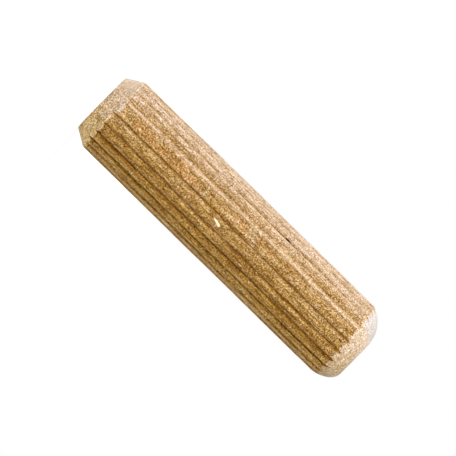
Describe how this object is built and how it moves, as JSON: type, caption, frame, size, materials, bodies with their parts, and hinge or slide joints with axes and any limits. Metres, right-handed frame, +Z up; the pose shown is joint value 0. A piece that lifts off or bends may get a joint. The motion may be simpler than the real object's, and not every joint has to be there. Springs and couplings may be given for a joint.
{
  "type": "dowel pin",
  "caption": "Fluted wooden dowel pin: a short round rod with straight ribs along its side, one end chamfered and the other rounded over.",
  "frame": {"origin": "middle of the lower, chamfered end face, on the pin's axis", "axes": "+Z up along the pin's axis, from the chamfered end to the rounded end; -X towards the side where the upper end is rounded over most"},
  "size_m": [0.01, 0.01, 0.04],
  "materials": {
    "wood": "matte"
  },
  "bodies": {
    "root": {"dowel_pin": "wood"}
  },
  "joints": []
}
